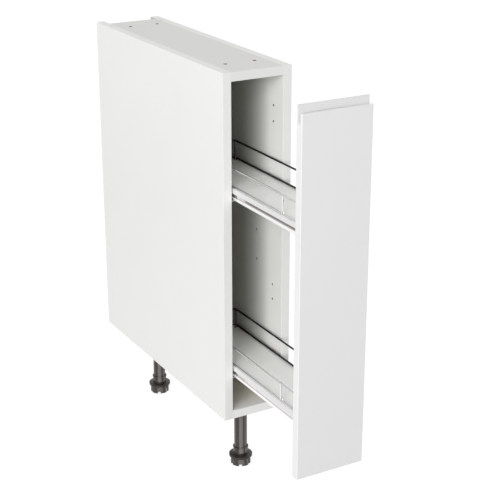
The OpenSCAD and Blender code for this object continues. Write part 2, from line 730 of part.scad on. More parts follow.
// The door's section: a flat panel whose top is a finger groove behind a low lip
module door_section() {
    groove_w = door_t - lip_t - tongue_t;
    groove_low = door_h - groove_deep;
    difference() {
        round_rect(door_t, door_h, door_edge_r);
        translate([-cut, door_h - lip_drop]) square([door_t - tongue_t + cut, lip_drop + cut]);
        translate([lip_t, groove_low + groove_w / 2]) square([groove_w, groove_deep]);
        translate([lip_t + groove_w / 2, groove_low + groove_w / 2]) circle(groove_w / 2);
    }
}

module door() color("whitesmoke") drawn_out(1) translate([0, -door_gap - door_t, door_low]) difference() {
    intersection() {
        across(door_w) door_section();
        translate([-door_w / 2, 0, 0]) linear_extrude(door_h) round_rect(door_w, door_t, door_edge_r);
    }
    for (z = tray_zs, dz = bracket_screw_zs, x = [-1, 1])
        rod_y([x * bracket_screw_x, door_t - door_screw_len - screw_play, z + dz - door_low],
              screw_d + 2 * screw_play, door_screw_len + screw_play + cut);
}

module door_buffers() color("gainsboro") drawn_out(1)
    for (x = [-1, 1], z = buffer_zs)
        rod_y([x * (inner_x + board_t / 2), -door_gap, z], buffer_d, door_gap - buffer_gap);

// A bracket: a plate on the back of the door with a flange under the tray
module door_bracket(tray_z) drawn_out(1) {
    difference() {
        translate([-bracket_w / 2, 0, tray_z - tray_bottom_drop]) mirror([0, 1, 0]) rotate([90, 0, 0])
            translate([0, 0, -door_gap]) linear_extrude(bracket_t)
                round_rect(bracket_w, tray_bottom_drop + top_wire_z + bracket_over_wire, bracket_corner_r);
        for (dz = bracket_screw_zs, x = [-1, 1])
            rod_y([x * bracket_screw_x, -door_gap - cut, tray_z + dz], screw_d + 2 * screw_play,
                  bracket_t + 2 * cut);
    }
    difference() {
        translate([-bracket_flange_w / 2, -door_gap, tray_z - tray_t - bracket_t])
            cube([bracket_flange_w, door_gap + bracket_flange_len, bracket_t]);
        for (x = bracket_flange_xs)
            translate([x, bracket_flange_len / 2, tray_z - tray_t - bracket_t - cut])
                cylinder(d = screw_d + 2 * screw_play, h = bracket_t + 2 * cut);
    }
}

module upper_door_bracket() color("silver") door_bracket(tray_zs[0]);

module lower_door_bracket() color("silver") door_bracket(tray_zs[1]);

module door_bracket_screws() color("silver") drawn_out(1) for (z = tray_zs) {
    for (dz = bracket_screw_zs, x = [-1, 1])
        translate([x * bracket_screw_x, bracket_t - door_gap, z + dz]) rotate([90, 0, 0])
            pan_screw(screw_d, bracket_t + door_screw_len, screw_head_d, screw_head_h);
    for (x = bracket_flange_xs) translate([x, bracket_flange_len / 2, z - tray_t - bracket_t])
        pan_screw(screw_d, bracket_t + tray_screw_len, screw_head_d, screw_head_h);
}

left_side_panel();
right_side_panel();
top_panel();
bottom_panel();
back_panel();
front_edging();
carcass_dowels();
front_leg_mount();
rear_leg_mount();
leg_mount_screws();
front_leg_tube();
rear_leg_tube();
front_leg_collar();
rear_leg_collar();
front_foot();
rear_foot();
upper_left_fixed_member();
upper_right_fixed_member();
lower_left_fixed_member();
lower_right_fixed_member();
fixed_member_screws();
upper_left_inner_cage();
upper_right_inner_cage();
lower_left_inner_cage();
lower_right_inner_cage();
inner_balls();
upper_left_middle_member();
upper_right_middle_member();
lower_left_middle_member();
lower_right_middle_member();
upper_left_outer_cage();
upper_right_outer_cage();
lower_left_outer_cage();
lower_right_outer_cage();
outer_balls();
upper_left_tray_member();
upper_right_tray_member();
lower_left_tray_member();
lower_right_tray_member();
tray_member_screws();
upper_tray();
lower_tray();
upper_top_wire();
lower_top_wire();
upper_bottom_wire();
lower_bottom_wire();
upper_posts();
lower_posts();
post_screws();
door();
door_buffers();
upper_door_bracket();
lower_door_bracket();
door_bracket_screws();
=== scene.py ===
"""The looks of a narrow kitchen base unit whose door draws out two railed trays.

Each sub-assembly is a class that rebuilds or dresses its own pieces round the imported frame: the carcass,
the legs, the door, the trays with their galleries, and the telescopic runners. Lengths are metres, +Z is
up and the door faces -Y.
"""
import json
import logging
import math
from dataclasses import KW_ONLY, dataclass, replace
from enum import Enum
from typing import Any, Sequence

import bmesh
import bpy
from mathutils import Matrix, Vector

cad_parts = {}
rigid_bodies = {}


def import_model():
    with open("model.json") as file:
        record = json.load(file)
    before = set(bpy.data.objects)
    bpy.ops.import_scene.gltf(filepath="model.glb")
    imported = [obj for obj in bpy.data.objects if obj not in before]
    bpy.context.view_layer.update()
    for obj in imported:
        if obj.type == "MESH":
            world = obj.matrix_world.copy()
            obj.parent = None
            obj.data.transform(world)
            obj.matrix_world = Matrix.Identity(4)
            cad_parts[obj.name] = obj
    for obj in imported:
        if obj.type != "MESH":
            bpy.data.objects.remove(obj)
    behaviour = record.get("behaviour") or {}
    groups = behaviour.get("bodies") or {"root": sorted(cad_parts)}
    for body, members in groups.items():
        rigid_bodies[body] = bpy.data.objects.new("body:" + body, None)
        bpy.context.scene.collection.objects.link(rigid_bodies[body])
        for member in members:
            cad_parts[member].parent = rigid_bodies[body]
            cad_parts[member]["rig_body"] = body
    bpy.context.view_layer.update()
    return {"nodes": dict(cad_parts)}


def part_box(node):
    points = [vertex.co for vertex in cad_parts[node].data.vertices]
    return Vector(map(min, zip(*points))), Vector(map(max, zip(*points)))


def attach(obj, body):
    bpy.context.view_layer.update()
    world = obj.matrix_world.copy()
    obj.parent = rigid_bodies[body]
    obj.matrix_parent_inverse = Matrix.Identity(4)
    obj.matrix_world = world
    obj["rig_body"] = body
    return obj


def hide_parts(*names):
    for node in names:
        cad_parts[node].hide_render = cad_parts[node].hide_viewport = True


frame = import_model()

NODES = frame["nodes"]
MM = 0.001
HAIR = 0.001 * MM
FLUSH = 10 * HAIR
SMOOTH = math.radians(32)
SQUARE_ON = 0.99
ROUND_STEPS = 3

logging.basicConfig(level=logging.INFO, format="%(name)s: %(message)s")
LOG = logging.getLogger("pull_out_unit")

BMesh = bmesh.types.BMesh
Material = bpy.types.Material
Color = tuple[float, float, float]
Point = tuple[float, float, float]
Stops = tuple[tuple[float, float], ...]
EVEN: Point = (1.0, 1.0, 1.0)


class Tier(Enum):
    """The two levels of the pull-out."""

    UPPER = "upper"
    LOWER = "lower"


class Side(Enum):
    """The two sides of the unit, for someone who faces the door."""

    LEFT = "left"
    RIGHT = "right"


class Way(Enum):
    """The ways that a face can look."""

    LEFT = (-1, 0, 0)
    RIGHT = (1, 0, 0)
    FRONT = (0, -1, 0)
    REAR = (0, 1, 0)
    UP = (0, 0, 1)
    DOWN = (0, 0, -1)


class Shading(Enum):
    """How a piece's faces meet in the render."""

    FLAT = "flat"
    ROUND = "round"


@dataclass(frozen=True)
class Grain:
    """A noise pattern: its features' size, its octaves, the small ones' strength, and its stretch."""

    size: float
    detail: float = 2.0
    roughness: float = 0.5
    stretch: Point = EVEN


class Sock:
    """A socket in a material's tree. Arithmetic on it adds Math nodes."""

    def __init__(self, shader: "Shader", socket: bpy.types.NodeSocket | None) -> None:
        """Keeps the socket.

        Args:
            shader: The tree that the socket belongs to.
            socket: The output socket, or None on an output node.
        """
        self.shader = shader
        self.socket = socket

    def _math(self, operation: str, first: Any, second: Any) -> "Sock":
        """Adds one Math node.

        Args:
            operation: The Math node's operation.
            first: Its first input, a Sock or a number.
            second: Its second input, a Sock or a number.

        Returns:
            The Math node's output.
        """
        return self.shader.node("ShaderNodeMath", {"operation": operation}, {0: first, 1: second})

    def __add__(self, other: Any) -> "Sock":
        """This plus the other."""
        return self._math("ADD", self, other)

    def __radd__(self, other: Any) -> "Sock":
        """The other plus this."""
        return self._math("ADD", other, self)

    def __sub__(self, other: Any) -> "Sock":
        """This less the other."""
        return self._math("SUBTRACT", self, other)

    def __rsub__(self, other: Any) -> "Sock":
        """The other less this."""
        return self._math("SUBTRACT", other, self)

    def __mul__(self, other: Any) -> "Sock":
        """This times the other."""
        return self._math("MULTIPLY", self, other)

    def __rmul__(self, other: Any) -> "Sock":
        """The other times this."""
        return self._math("MULTIPLY", other, self)

    def fraction(self) -> "Sock":
        """What is left of this past a whole number."""
        return self._math("FRACT", self, 0.0)

    def above(self, other: Any) -> "Sock":
        """The greater of this and the other."""
        return self._math("MAXIMUM", self, other)


class Shader:
    """One material's tree: textures, mixes and a Principled shader that a finish feeds."""

    # The sockets of a Mix node that mixes colours
    MIX_FACTOR = 0
    MIX_FIRST = 6
    MIX_SECOND = 7
    MIX_RESULT = 2

    def __init__(self, name: str, world: bpy.types.World | None = None) -> None:
        """Starts an empty tree.

        Args:
            name: The material's name.
            world: The world whose tree is built instead of a material's.
        """
        self.owner = world or bpy.data.materials.new(name)
        self.owner.use_nodes = True
        self.tree = self.owner.node_tree
        self.tree.nodes.clear()

    def node(self, kind: str, settings: dict | None = None, inputs: dict | None = None,
             output: int | str = 0) -> Sock:
        """Adds any node.

        Args:
            kind: The node's type.
            settings: Its own settings.
            inputs: Values or links of its sockets, by index or name.
            output: The output that is wanted.

        Returns:
            That output.
        """
        made = self.tree.nodes.new(kind)
        for key, value in (settings or {}).items():
            setattr(made, key, value)
        for key, value in (inputs or {}).items():
            self.feed(made.inputs[key], value)
        return Sock(self, made.outputs[output] if made.outputs else None)

    def feed(self, socket: bpy.types.NodeSocket, value: Any) -> None:
        """Links a Sock to an input, or sets the input's value.

        Args:
            socket: The input.
            value: A Sock, a number, a colour or a vector.
        """
        if isinstance(value, Sock):
            self.tree.links.new(value.socket, socket)
        elif isinstance(value, tuple) and socket.type == "RGBA":
            socket.default_value = (*value, 1.0)
        else:
            socket.default_value = value

    def place(self, stretch: Point = EVEN) -> Sock:
        """Object coordinates.

        Args:
            stretch: A scale on each axis, which draws a pattern out where it is small.

        Returns:
            The coordinates as a vector.
        """
        plain = self.node("ShaderNodeTexCoord", output="Object")
        if stretch == EVEN:
            return plain
        return self.node("ShaderNodeMapping", inputs={"Vector": plain, "Scale": stretch})

    def noise(self, grain: Grain) -> Sock:
        """A noise field from 0 to 1."""
        return self.node("ShaderNodeTexNoise", inputs={
            "Vector": self.place(grain.stretch), "Scale": 1.0 / grain.size, "Detail": grain.detail,
            "Roughness": grain.roughness})

    def cells(self, size: float) -> Sock:
        """The distance to the nearest cell point, for grains of the size given."""
        return self.node("ShaderNodeTexVoronoi", inputs={"Vector": self.place(), "Scale": 1.0 / size})

    def axis(self, vector: Sock, name: str) -> Sock:
        """One component of a vector."""
        return self.node("ShaderNodeSeparateXYZ", inputs={0: vector}, output=name)

    def curve(self, factor: Sock, stops: Stops) -> Sock:
        """A level that follows a field.

        Args:
            factor: The field.
            stops: Places on the field, each with the level there.

        Returns:
            The level.
        """
        made = self.node("ShaderNodeValToRGB", inputs={0: factor})
        ramp = made.socket.node.color_ramp
        while len(ramp.elements) < len(stops):
            ramp.elements.new(1.0)
        for element, (place, level) in zip(ramp.elements, stops):
            element.position = place
            element.color = (level, level, level, 1.0)
        return self.axis(made, "X")

    def mix(self, factor: Any, first: Any, second: Any) -> Sock:
        """Mixes two colours.

        Args:
            factor: The share of the second colour.
            first: The first colour.
            second: The second colour.

        Returns:
            The mixed colour.
        """
        return self.node("ShaderNodeMix", {"data_type": "RGBA"}, {
            self.MIX_FACTOR: factor, self.MIX_FIRST: first, self.MIX_SECOND: second}, self.MIX_RESULT)

    def end(self, kind: str, surface: Sock) -> None:
        """Ends a material's or a world's tree in its output.

        Args:
            kind: Material or World.
            surface: The shader that it shows.
        """
        self.node("ShaderNodeOutput" + kind, inputs={"Surface": surface})


def toned(color: Color, tone: float) -> Color:
    """A colour in a darker or lighter tone, held at white."""
    return tuple(min(1.0, tone * channel) for channel in color)


@dataclass(frozen=True)
class Finish:
    """A surface finish. Each kind below builds its own material once."""

    slot: str
    _: KW_ONLY
    variant: str = ""
    roughness: float
    rough_play: float = 0.1
    metal: float = 0.0
    sheen: float = 0.5
    depth: float = 0.02 * MM
    strength: float = 0.5

    @property
    def label(self) -> str:
        """The material's name."""
        return f"{self.slot}{self.variant}_finish"

    def build(self, shader: Shader) -> Material:
        """Builds the material in an empty tree."""
        raise NotImplementedError

    def material(self) -> Material:
        """The finish's material, made the first time it is asked for."""
        found = bpy.data.materials.get(self.label)
        return found or self.build(Shader(self.label))

    def skin(self, shader: Shader, color: Sock, pattern: Sock, relief: Sock | None = None) -> Material:
        """Ends a tree in the finish's Principled shader.

        Args:
            shader: The tree.
            color: The surface's colour.
            pattern: The field from 0 to 1 that its roughness follows.
            relief: The height field of its bump, where it has one.

        Returns:
            The finished material.
        """
        rough = (self.roughness - self.rough_play / 2) + self.rough_play * pattern
        inputs = {"Base Color": color, "Metallic": self.metal, "Roughness": rough,
                  "Specular IOR Level": self.sheen}
        if relief:
            inputs["Normal"] = shader.node("ShaderNodeBump", inputs={
                "Height": relief, "Distance": self.depth, "Strength": self.strength})
        shader.end("Material", shader.node("ShaderNodeBsdfPrincipled", inputs=inputs))
        return shader.owner


@dataclass(frozen=True)
class Melamine(Finish):
    """White decor paper pressed on board: a faint pearl print under a fine satin emboss.

    Where it has a painted shade tint it turns to that along +Y, from a start over a span: painted shade
    that darkens the face deeper inside the carcass.
    """

    tint: Color
    _: KW_ONLY
    roughness: float = 0.42
    sheen: float = 0.2
    matt: Grain = Grain(0.9 * MM)
    pearl: Grain = Grain(2.2 * MM, 3.0, 0.65)
    pearl_tone: float = 1.02
    pearl_share: float = 0.35
    cloud: Grain = Grain(90 * MM, 3.0)
    cloud_tone: float = 0.965
    emboss: Grain = Grain(0.7 * MM, 2.0, 0.6)
    painted_shade_tint: Color | None = None
    painted_shade_from: float = -92 * MM
    painted_shade_span: float = 60 * MM

    def build(self, shader: Shader) -> Material:
        """Builds the board's face.

        Args:
            shader: An empty tree.

        Returns:
            The material.
        """
        color = shader.mix(shader.noise(self.cloud), toned(self.tint, self.cloud_tone), self.tint)
        pearl = shader.noise(self.pearl) * self.pearl_share
        color = shader.mix(pearl, color, toned(self.tint, self.pearl_tone))
        # Painted shade: the face darkens to the shade tint toward the back of the carcass
        if self.painted_shade_tint:
            depth = (shader.axis(shader.place(), "Y") - self.painted_shade_from) * (1.0 / self.painted_shade_span)
            color = shader.mix(depth, color, self.painted_shade_tint)
        return self.skin(shader, color, shader.noise(self.matt), shader.noise(self.emboss))


@dataclass(frozen=True)
class Coat(Finish):
    """A skin that drifts to a darker tone, over a fine relief that its roughness follows."""

    tint: Color
    _: KW_ONLY
    drift: Grain
    drift_tone: float = 0.95
    relief: Grain

    def build(self, shader: Shader) -> Material:
        """Builds the skin.

        Args:
            shader: An empty tree.

        Returns:
            The material.
        """
        relief = shader.noise(self.relief)
        color = shader.mix(shader.noise(self.drift), toned(self.tint, self.drift_tone), self.tint)
        return self.skin(shader, color, relief, relief)


@dataclass(frozen=True)
class SatinFoil(Coat):
    """Smooth satin foil wrapped on fibreboard, with the faintest orange peel."""

    _: KW_ONLY
    drift: Grain = Grain(140 * MM)
    drift_tone: float = 0.975
    relief: Grain = Grain(3.5 * MM, 3.0, 0.55)
    depth: float = 0.03 * MM
    strength: float = 0.35
    roughness: float = 0.34
    rough_play: float = 0.06
    sheen: float = 0.25


@dataclass(frozen=True)
class PowderCoat(Coat):
    """Baked powder paint on pressed steel, with its fine pebbled skin."""

    _: KW_ONLY
    drift: Grain = Grain(40 * MM)
    relief: Grain = Grain(0.45 * MM)
    depth: float = 0.04 * MM
    strength: float = 0.6
    roughness: float = 0.45


@dataclass(frozen=True)
class SoftPolymer(Coat):
    """A soft milky bumper."""

    _: KW_ONLY
    drift: Grain = Grain(1.5 * MM, 3.0)
    drift_tone: float = 0.93
    relief: Grain = Grain(1.5 * MM, 3.0)
    strength: float = 0.4
    roughness: float = 0.35


@dataclass(frozen=True)
class Chipboard(Finish):
    """The pressed-chip core that shows where a board is drilled or grooved."""

    light: Color = (0.36, 0.30, 0.23)
    dark: Color = (0.13, 0.10, 0.07)
    chip: float = 1.6 * MM
    chip_share: float = 0.6
    fleck: Grain = Grain(0.8 * MM, 4.0, 0.7)
    fleck_share: float = 0.5
    _: KW_ONLY
    roughness: float = 0.9
    depth: float = 0.3 * MM
    strength: float = 1.0

    def build(self, shader: Shader) -> Material:
        """Builds the core of glued chips.

        Args:
            shader: An empty tree.

        Returns:
            The material.
        """
        chips, flecks = shader.cells(self.chip), shader.noise(self.fleck)
        color = shader.mix(chips * self.chip_share + flecks * self.fleck_share, self.light, self.dark)
        return self.skin(shader, color, flecks, chips + flecks)


@dataclass(frozen=True)
class MouldedPlastic(Finish):
    """Injection-moulded polymer: a spark-eroded skin with scuffs, and painted reflections: light stripes
    up the leg.

    The stripe stops go round one painted stripe. The fading stops go up from the floor over foot_reach,
    and keep the stripes off the grip flange, which stays dark as painted shade.
    """

    centre: tuple[float, float]
    dark: Color = (0.030, 0.026, 0.027)
    light: Color = (0.270, 0.240, 0.225)
    _: KW_ONLY
    roughness: float = 0.31
    rough_play: float = 0.12
    sheen: float = 0.3
    grain: Grain = Grain(0.5 * MM, 3.0, 0.6)
    scuff: Color = (0.16, 0.15, 0.145)
    scuffing: Grain = Grain(9 * MM, 5.0, 0.7)
    scuff_share: float = 0.2
    scuff_stops: Stops = ((0.55, 0.0), (0.75, 1.0))
    painted_reflections: int = 3
    turn: float = 192 / 360
    sway: Grain = Grain(16 * MM)
    sway_share: float = 0.02
    painted_reflection_stops: Stops = ((0.0, 0.25), (0.07, 0.08), (0.29, 0.05), (0.38, 0.68), (0.58, 0.58), (0.66, 0.08),
                   (0.74, 0.06), (0.79, 0.62), (0.85, 0.5), (0.91, 0.1), (1.0, 0.25))
    foot_reach: float = 40 * MM
    painted_shade_fade: Stops = ((0.0, 0.85), (0.40, 0.85), (0.43, 0.04), (0.66, 0.04), (0.70, 1.0), (1.0, 1.0))

    def build(self, shader: Shader) -> Material:
        """Builds the moulded skin.

        Args:
            shader: An empty tree.

        Returns:
            The material.
        """
        centred = shader.node("ShaderNodeMapping", inputs={
            "Vector": shader.place(), "Location": (-self.centre[0], -self.centre[1], 0.0)})
        radial = {"gradient_type": "RADIAL"}
        round_share = shader.node("ShaderNodeTexGradient", radial, {0: centred}, "Fac")
        sway = self.sway_share * shader.noise(self.sway)
        # Half a turn starts the painted reflection stripes behind, and a whole one keeps the phase above
        # zero
        phase = (round_share + (0.5 + 1.0 - self.turn) + sway) * self.painted_reflections
        height = shader.axis(shader.place(), "Z") * (1.0 / self.foot_reach)
        # Painted reflections: light stripes at fixed turns round the leg, held dark over the grip flange
        # as painted shade
        painted_reflections = shader.curve(phase.fraction(), self.painted_reflection_stops) * shader.curve(height, self.painted_shade_fade)
        scuffs = shader.curve(shader.noise(self.scuffing), self.scuff_stops) * self.scuff_share
        color = shader.mix(scuffs, shader.mix(painted_reflections, self.dark, self.light), self.scuff)
        grain = shader.noise(self.grain)
        return self.skin(shader, color, grain, grain)


@dataclass(frozen=True)
class RolledSteel(Finish):
    """Zinc-plated strip: long rolling streaks along the draw, with a faint spangle."""

    tint: Color
    _: KW_ONLY
    roughness: float = 0.24
    rough_play: float = 0.08
    metal: float = 1.0
    depth: float = 0.012 * MM
    streak: Grain = Grain(0.8 * MM, 3.0, 0.6, (1.0, 0.02, 1.0))
    spangle: Grain = Grain(6 * MM, 3.0)
    shade_tone: float = 0.9

    def build(self, shader: Shader) -> Material:
        """Builds the plated metal.

        Args:
            shader: An empty tree.

        Returns:
            The material.
        """
        rolled = shader.noise(self.streak)
        share = (rolled + shader.noise(self.spangle)) * 0.5
        color = shader.mix(share, toned(self.tint, self.shade_tone), self.tint)
        return self.skin(shader, color, rolled, rolled)


@dataclass(frozen=True)
class Chrome(Finish):
    """Polished plating over drawn wire or a ground ball.

    Where its right-hand tone is below 1 the plating darkens to it toward +X, over turn_over about the
    middle: a painted reflection of the dark inside of the carcass.
    """

    tint: Color
    _: KW_ONLY
    roughness: float = 0.075
    rough_play: float = 0.05
    metal: float = 1.0
    haze: Grain = Grain(11 * MM, 4.0, 0.6)
    haze_tone: float = 0.95
    dark_reflection_tone: float = 1.0
    turn_over: float = 40 * MM

    def build(self, shader: Shader) -> Material:
        """Builds the mirror plating.

        Args:
            shader: An empty tree.

        Returns:
            The material.
        """
        haze = shader.noise(self.haze)
        color = shader.mix(haze, toned(self.tint, self.haze_tone), self.tint)
        # Painted reflection: the plating darkens toward +X
        if self.dark_reflection_tone < 1.0:
            across = shader.axis(shader.place(), "X") * (1.0 / self.turn_over) + 0.5
            color = shader.mix(across, color, toned(self.tint, self.dark_reflection_tone))
        return self.skin(shader, color, haze)


@dataclass(frozen=True)
class TurnedBeech(Finish):
    """Turned beech with its short dark flecks, grain along X as the dowels lie."""

    light: Color = (0.68, 0.49, 0.31)
    fleck: Color = (0.45, 0.28, 0.16)
    fleck_share: float = 0.7
    fleck_stops: Stops = ((0.5, 0.0), (0.68, 1.0))
    grain: Grain = Grain(0.9 * MM, 4.0, 0.6, (0.08, 1.0, 1.0))
    _: KW_ONLY
    roughness: float = 0.675
    rough_play: float = 0.15
    depth: float = 0.05 * MM

    def build(self, shader: Shader) -> Material:
        """Builds the grain.

        Args:
            shader: An empty tree.

        Returns:
            The material.
        """
        grain = shader.noise(self.grain)
        flecks = shader.curve(grain, self.fleck_stops) * self.fleck_share
        return self.skin(shader, shader.mix(flecks, self.light, self.fleck), grain, grain)


# The faces of one board have their own tones, as they have in the photograph: these are lit and shaded
# copies of one melamine, painted light and painted shade
BOARD = Melamine("board", (0.864, 0.866, 0.856))
# Painted shade: the top board's faces are a darker copy of the melamine
SHADED_TOP_BOARD = replace(BOARD, variant="_top", tint=(0.782, 0.782, 0.760))
# Painted shade: the faces inside the carcass are a greyer copy of the melamine, darkening further toward
# the back
SHADED_INNER_BOARD = replace(BOARD, variant="_inside", tint=(0.786, 0.788, 0.766),
                      painted_shade_tint=(0.602, 0.604, 0.566))
# Painted light and painted shade: the bottom's inside face is lighter near the front and turns darker and
# cream toward the back
LIT_AND_SHADED_BOTTOM_BOARD = replace(BOARD, variant="_bottom", tint=(0.935, 0.927, 0.900),
                       painted_shade_tint=(0.80, 0.775, 0.66), painted_shade_from=-145 * MM, painted_shade_span=45 * MM)
BOARD_EDGE = replace(BOARD, variant="_edge", tint=(0.895, 0.897, 0.880))
BACK_BOARD = Melamine("back_board", (0.835, 0.838, 0.822), roughness=0.48)
EDGING = Melamine("edging", (0.852, 0.856, 0.840), roughness=0.36, depth=0.01 * MM)
# Painted shade and painted light: the top, right and bottom edging strips are darker and lighter copies of
# the left one's melamine
EDGING_TOP = replace(EDGING, variant="_top", tint=(0.806, 0.810, 0.794))
EDGING_RIGHT = replace(EDGING, variant="_right", tint=(0.828, 0.832, 0.816))
EDGING_BOTTOM = replace(EDGING, variant="_bottom", tint=(0.900, 0.904, 0.888))
# Painted light and painted shade: the tray board's top is a lighter copy of the melamine, its sides and
# rear a darker one
TRAY_BOARD = Melamine("tray_board", (0.975, 0.977, 0.958), roughness=0.32, sheen=0.5)
SHADED_TRAY_EDGE = Melamine("tray_board", (0.765, 0.760, 0.757), variant="_edge", roughness=0.38)
DOOR_FRONT = SatinFoil("door_front", (0.856, 0.856, 0.857))
# Painted shade: the face in the door's finger groove is a darker copy of the foil
SHADED_DOOR_GROOVE = replace(DOOR_FRONT, variant="_groove", tint=(0.800, 0.794, 0.798))
CORE = Chipboard("chipboard_core")
# Painted shade: the bores in the top board take a near-black copy of the core
SHADED_BORE_CORE = replace(CORE, variant="_bore_shade", light=(0.05, 0.045, 0.04), dark=(0.03, 0.025, 0.02))
RUNNER_STEEL = RolledSteel("runner_steel", (0.80, 0.775, 0.775), roughness=0.15)
# Painted light: the tray member's outer race is a whiter copy of the runner steel, standing in for the
# pale floor that it mirrors
LIT_RUNNER_RACE = RolledSteel("runner_steel", (0.98, 0.96, 0.965), variant="_race", roughness=0.6)
CAGE_STEEL = RolledSteel("cage_steel", (0.55, 0.55, 0.55), roughness=0.34)
ZINC = RolledSteel("zinc", (0.70, 0.70, 0.68), streak=Grain(0.8 * MM, 3.0, 0.6), roughness=0.3)
BALL_STEEL = Chrome("ball_steel", (0.66, 0.66, 0.68), roughness=0.065)
# Painted reflection: the wires and posts darken toward +X, standing in for the dark inside of the carcass
# that they mirror
CHROME_WIRE = Chrome("chrome_wire", (0.64, 0.64, 0.65), roughness=0.055, dark_reflection_tone=0.17)
CHROME_POST = replace(CHROME_WIRE, variant="_post", tint=(0.88, 0.88, 0.88), dark_reflection_tone=0.15)
BRACKET_STEEL = PowderCoat("bracket_steel", (0.70, 0.70, 0.69))
BUFFER = SoftPolymer("buffer", (0.72, 0.73, 0.72))
BEECH = TurnedBeech("beech")


@dataclass(frozen=True)
class Block:
    """The upright box round a piece."""

    low: Vector
    high: Vector

    @classmethod
    def of(cls, node: str) -> "Block":
        """The box round a CAD node at rest."""
        return cls(*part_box(node))

    @property
    def size(self) -> Vector:
        """Its width, depth and height."""
        return self.high - self.low

    @property
    def middle(self) -> Vector:
        """Its middle."""
        return (self.low + self.high) / 2

    @property
    def foot(self) -> Vector:
        """The middle of its underside."""
        return Vector((self.middle.x, self.middle.y, self.low.z))


def copied(node: str) -> BMesh:
    """A copy of a CAD node's mesh, with its loose triangles merged.

    Args:
        node: The CAD node.

    Returns:
        The new mesh.
    """
    mesh = bmesh.new()
    mesh.from_mesh(NODES[node].data)
    bmesh.ops.remove_doubles(mesh, verts=mesh.verts, dist=HAIR)
    return mesh


def ease(mesh: BMesh, geom: list, offset: float, steps: int, affect: str = "EDGES") -> None:
    """Rounds edges or corners over.

    Args:
        mesh: The mesh.
        geom: The edges or corners.
        offset: How far they are cut back.
        steps: The faces across each.
        affect: EDGES or VERTICES.
    """
    bmesh.ops.bevel(mesh, geom=geom, offset=offset, offset_type="OFFSET", affect=affect, segments=steps,
                    profile=0.5, material=-1, clamp_overlap=True)


def softened(node: str, arris: float, steps: int = 2, crease: float = 35.0,
             even: float = 0.3) -> BMesh:
    """Copies a CAD node and eases its sharp edges, as a sander or a press leaves them.

    The result is held inside the node's own box.

    Args:
        node: The CAD node.
        arris: How far an eased edge is cut back.
        steps: The faces across an eased edge.
        crease: The angle in degrees past which an edge counts as sharp.
        even: The angle in degrees under which two faces count as one.

    Returns:
        The new mesh.
    """
    mesh = copied(node)
    bmesh.ops.dissolve_limit(mesh, angle_limit=math.radians(even), use_dissolve_boundaries=False,
                             verts=mesh.verts, edges=mesh.edges)
    limit = math.radians(crease)
    ease(mesh, [edge for edge in mesh.edges if edge.is_manifold and edge.calc_face_angle() > limit],
         arris, steps)
    low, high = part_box(node)
    for vert in mesh.verts:
        vert.co = [min(max(vert.co[axis], low[axis]), high[axis]) for axis in range(3)]
    return mesh


def spun(outline: Sequence[tuple[float, float]], centre: Sequence[float] = (0.0, 0.0, 0.0),
         rounding: float = 0.0, steps: int = 72) -> BMesh:
    """Turns an outline about an upright axis.

    Args:
        outline: Points as radius and height, from the axis or round a closed ring.
        centre: The foot of the axis.
        rounding: How far the outline's corners are cut back and rounded.
        steps: The faces round the axis.

    Returns:
        The turned mesh, with its faces outwards.
    """
    mesh = bmesh.new()
    points = [mesh.verts.new((radius, 0.0, height)) for radius, height in outline]
    on_axis = outline[0][0] == 0.0
    pairs = list(zip(points, points[1:])) + ([] if on_axis else [(points[-1], points[0])])
    for pair in pairs:
        mesh.edges.new(pair)
    if rounding:
        ease(mesh, points[1:-1] if on_axis else points, rounding, ROUND_STEPS, "VERTICES")
    bmesh.ops.spin(mesh, geom=list(mesh.verts) + list(mesh.edges), cent=(0, 0, 0), axis=(0, 0, 1),
                   angle=math.tau, steps=steps, use_merge=True)
    bmesh.ops.remove_doubles(mesh, verts=mesh.verts, dist=HAIR)
    bmesh.ops.recalc_face_normals(mesh, faces=mesh.faces)
    bmesh.ops.translate(mesh, vec=centre, verts=mesh.verts)
    return mesh


def join(target: BMesh, extra: BMesh, turn: Matrix = Matrix.Identity(4)) -> None:
    """Adds one mesh to another.

    Args:
        target: The mesh that grows.
        extra: The mesh that is added and freed.
        turn: Where it goes.
    """
    bmesh.ops.transform(extra, matrix=turn, verts=extra.verts)
    carrier = mesh_data("carrier", extra)
    target.from_mesh(carrier)
    bpy.data.meshes.remove(carrier)


def solids(node: str) -> list[Block]:
    """The boxes round a CAD node's separate solids, from left to right.

    Args:
        node: The CAD node.

    Returns:
        The boxes.
    """
    mesh = copied(node)
    unseen = set(mesh.verts)
    blocks = []
    while unseen:
        group, queue = [], [unseen.pop()]
        while queue:
            vert = queue.pop()
            group.append(vert.co.copy())
            near = {edge.other_vert(vert) for edge in vert.link_edges} & unseen
            unseen -= near
            queue.extend(near)
        low, high = (Vector([pick(point[axis] for point in group) for axis in range(3)])
                     for pick in (min, max))
        blocks.append(Block(low, high))
    mesh.free()
    return sorted(blocks, key=lambda block: tuple(block.low))


def stand(name: str, data: Any) -> bpy.types.Object:
    """Makes an object of its data and links it to the scene.

    Args:
        name: The object's name.
        data: A mesh, lamp or camera.

    Returns:
        The object.
    """
    made = bpy.data.objects.new(name, data)
    bpy.context.scene.collection.objects.link(made)
    return made


def mesh_data(name: str, mesh: BMesh) -> bpy.types.Mesh:
    """Keeps a built mesh as mesh data, and frees it.

    Args:
        name: The data's name.
        mesh: The mesh.

    Returns:
        The data.
    """
    data = bpy.data.meshes.new(name)
    mesh.to_mesh(data)
    mesh.free()
    return data


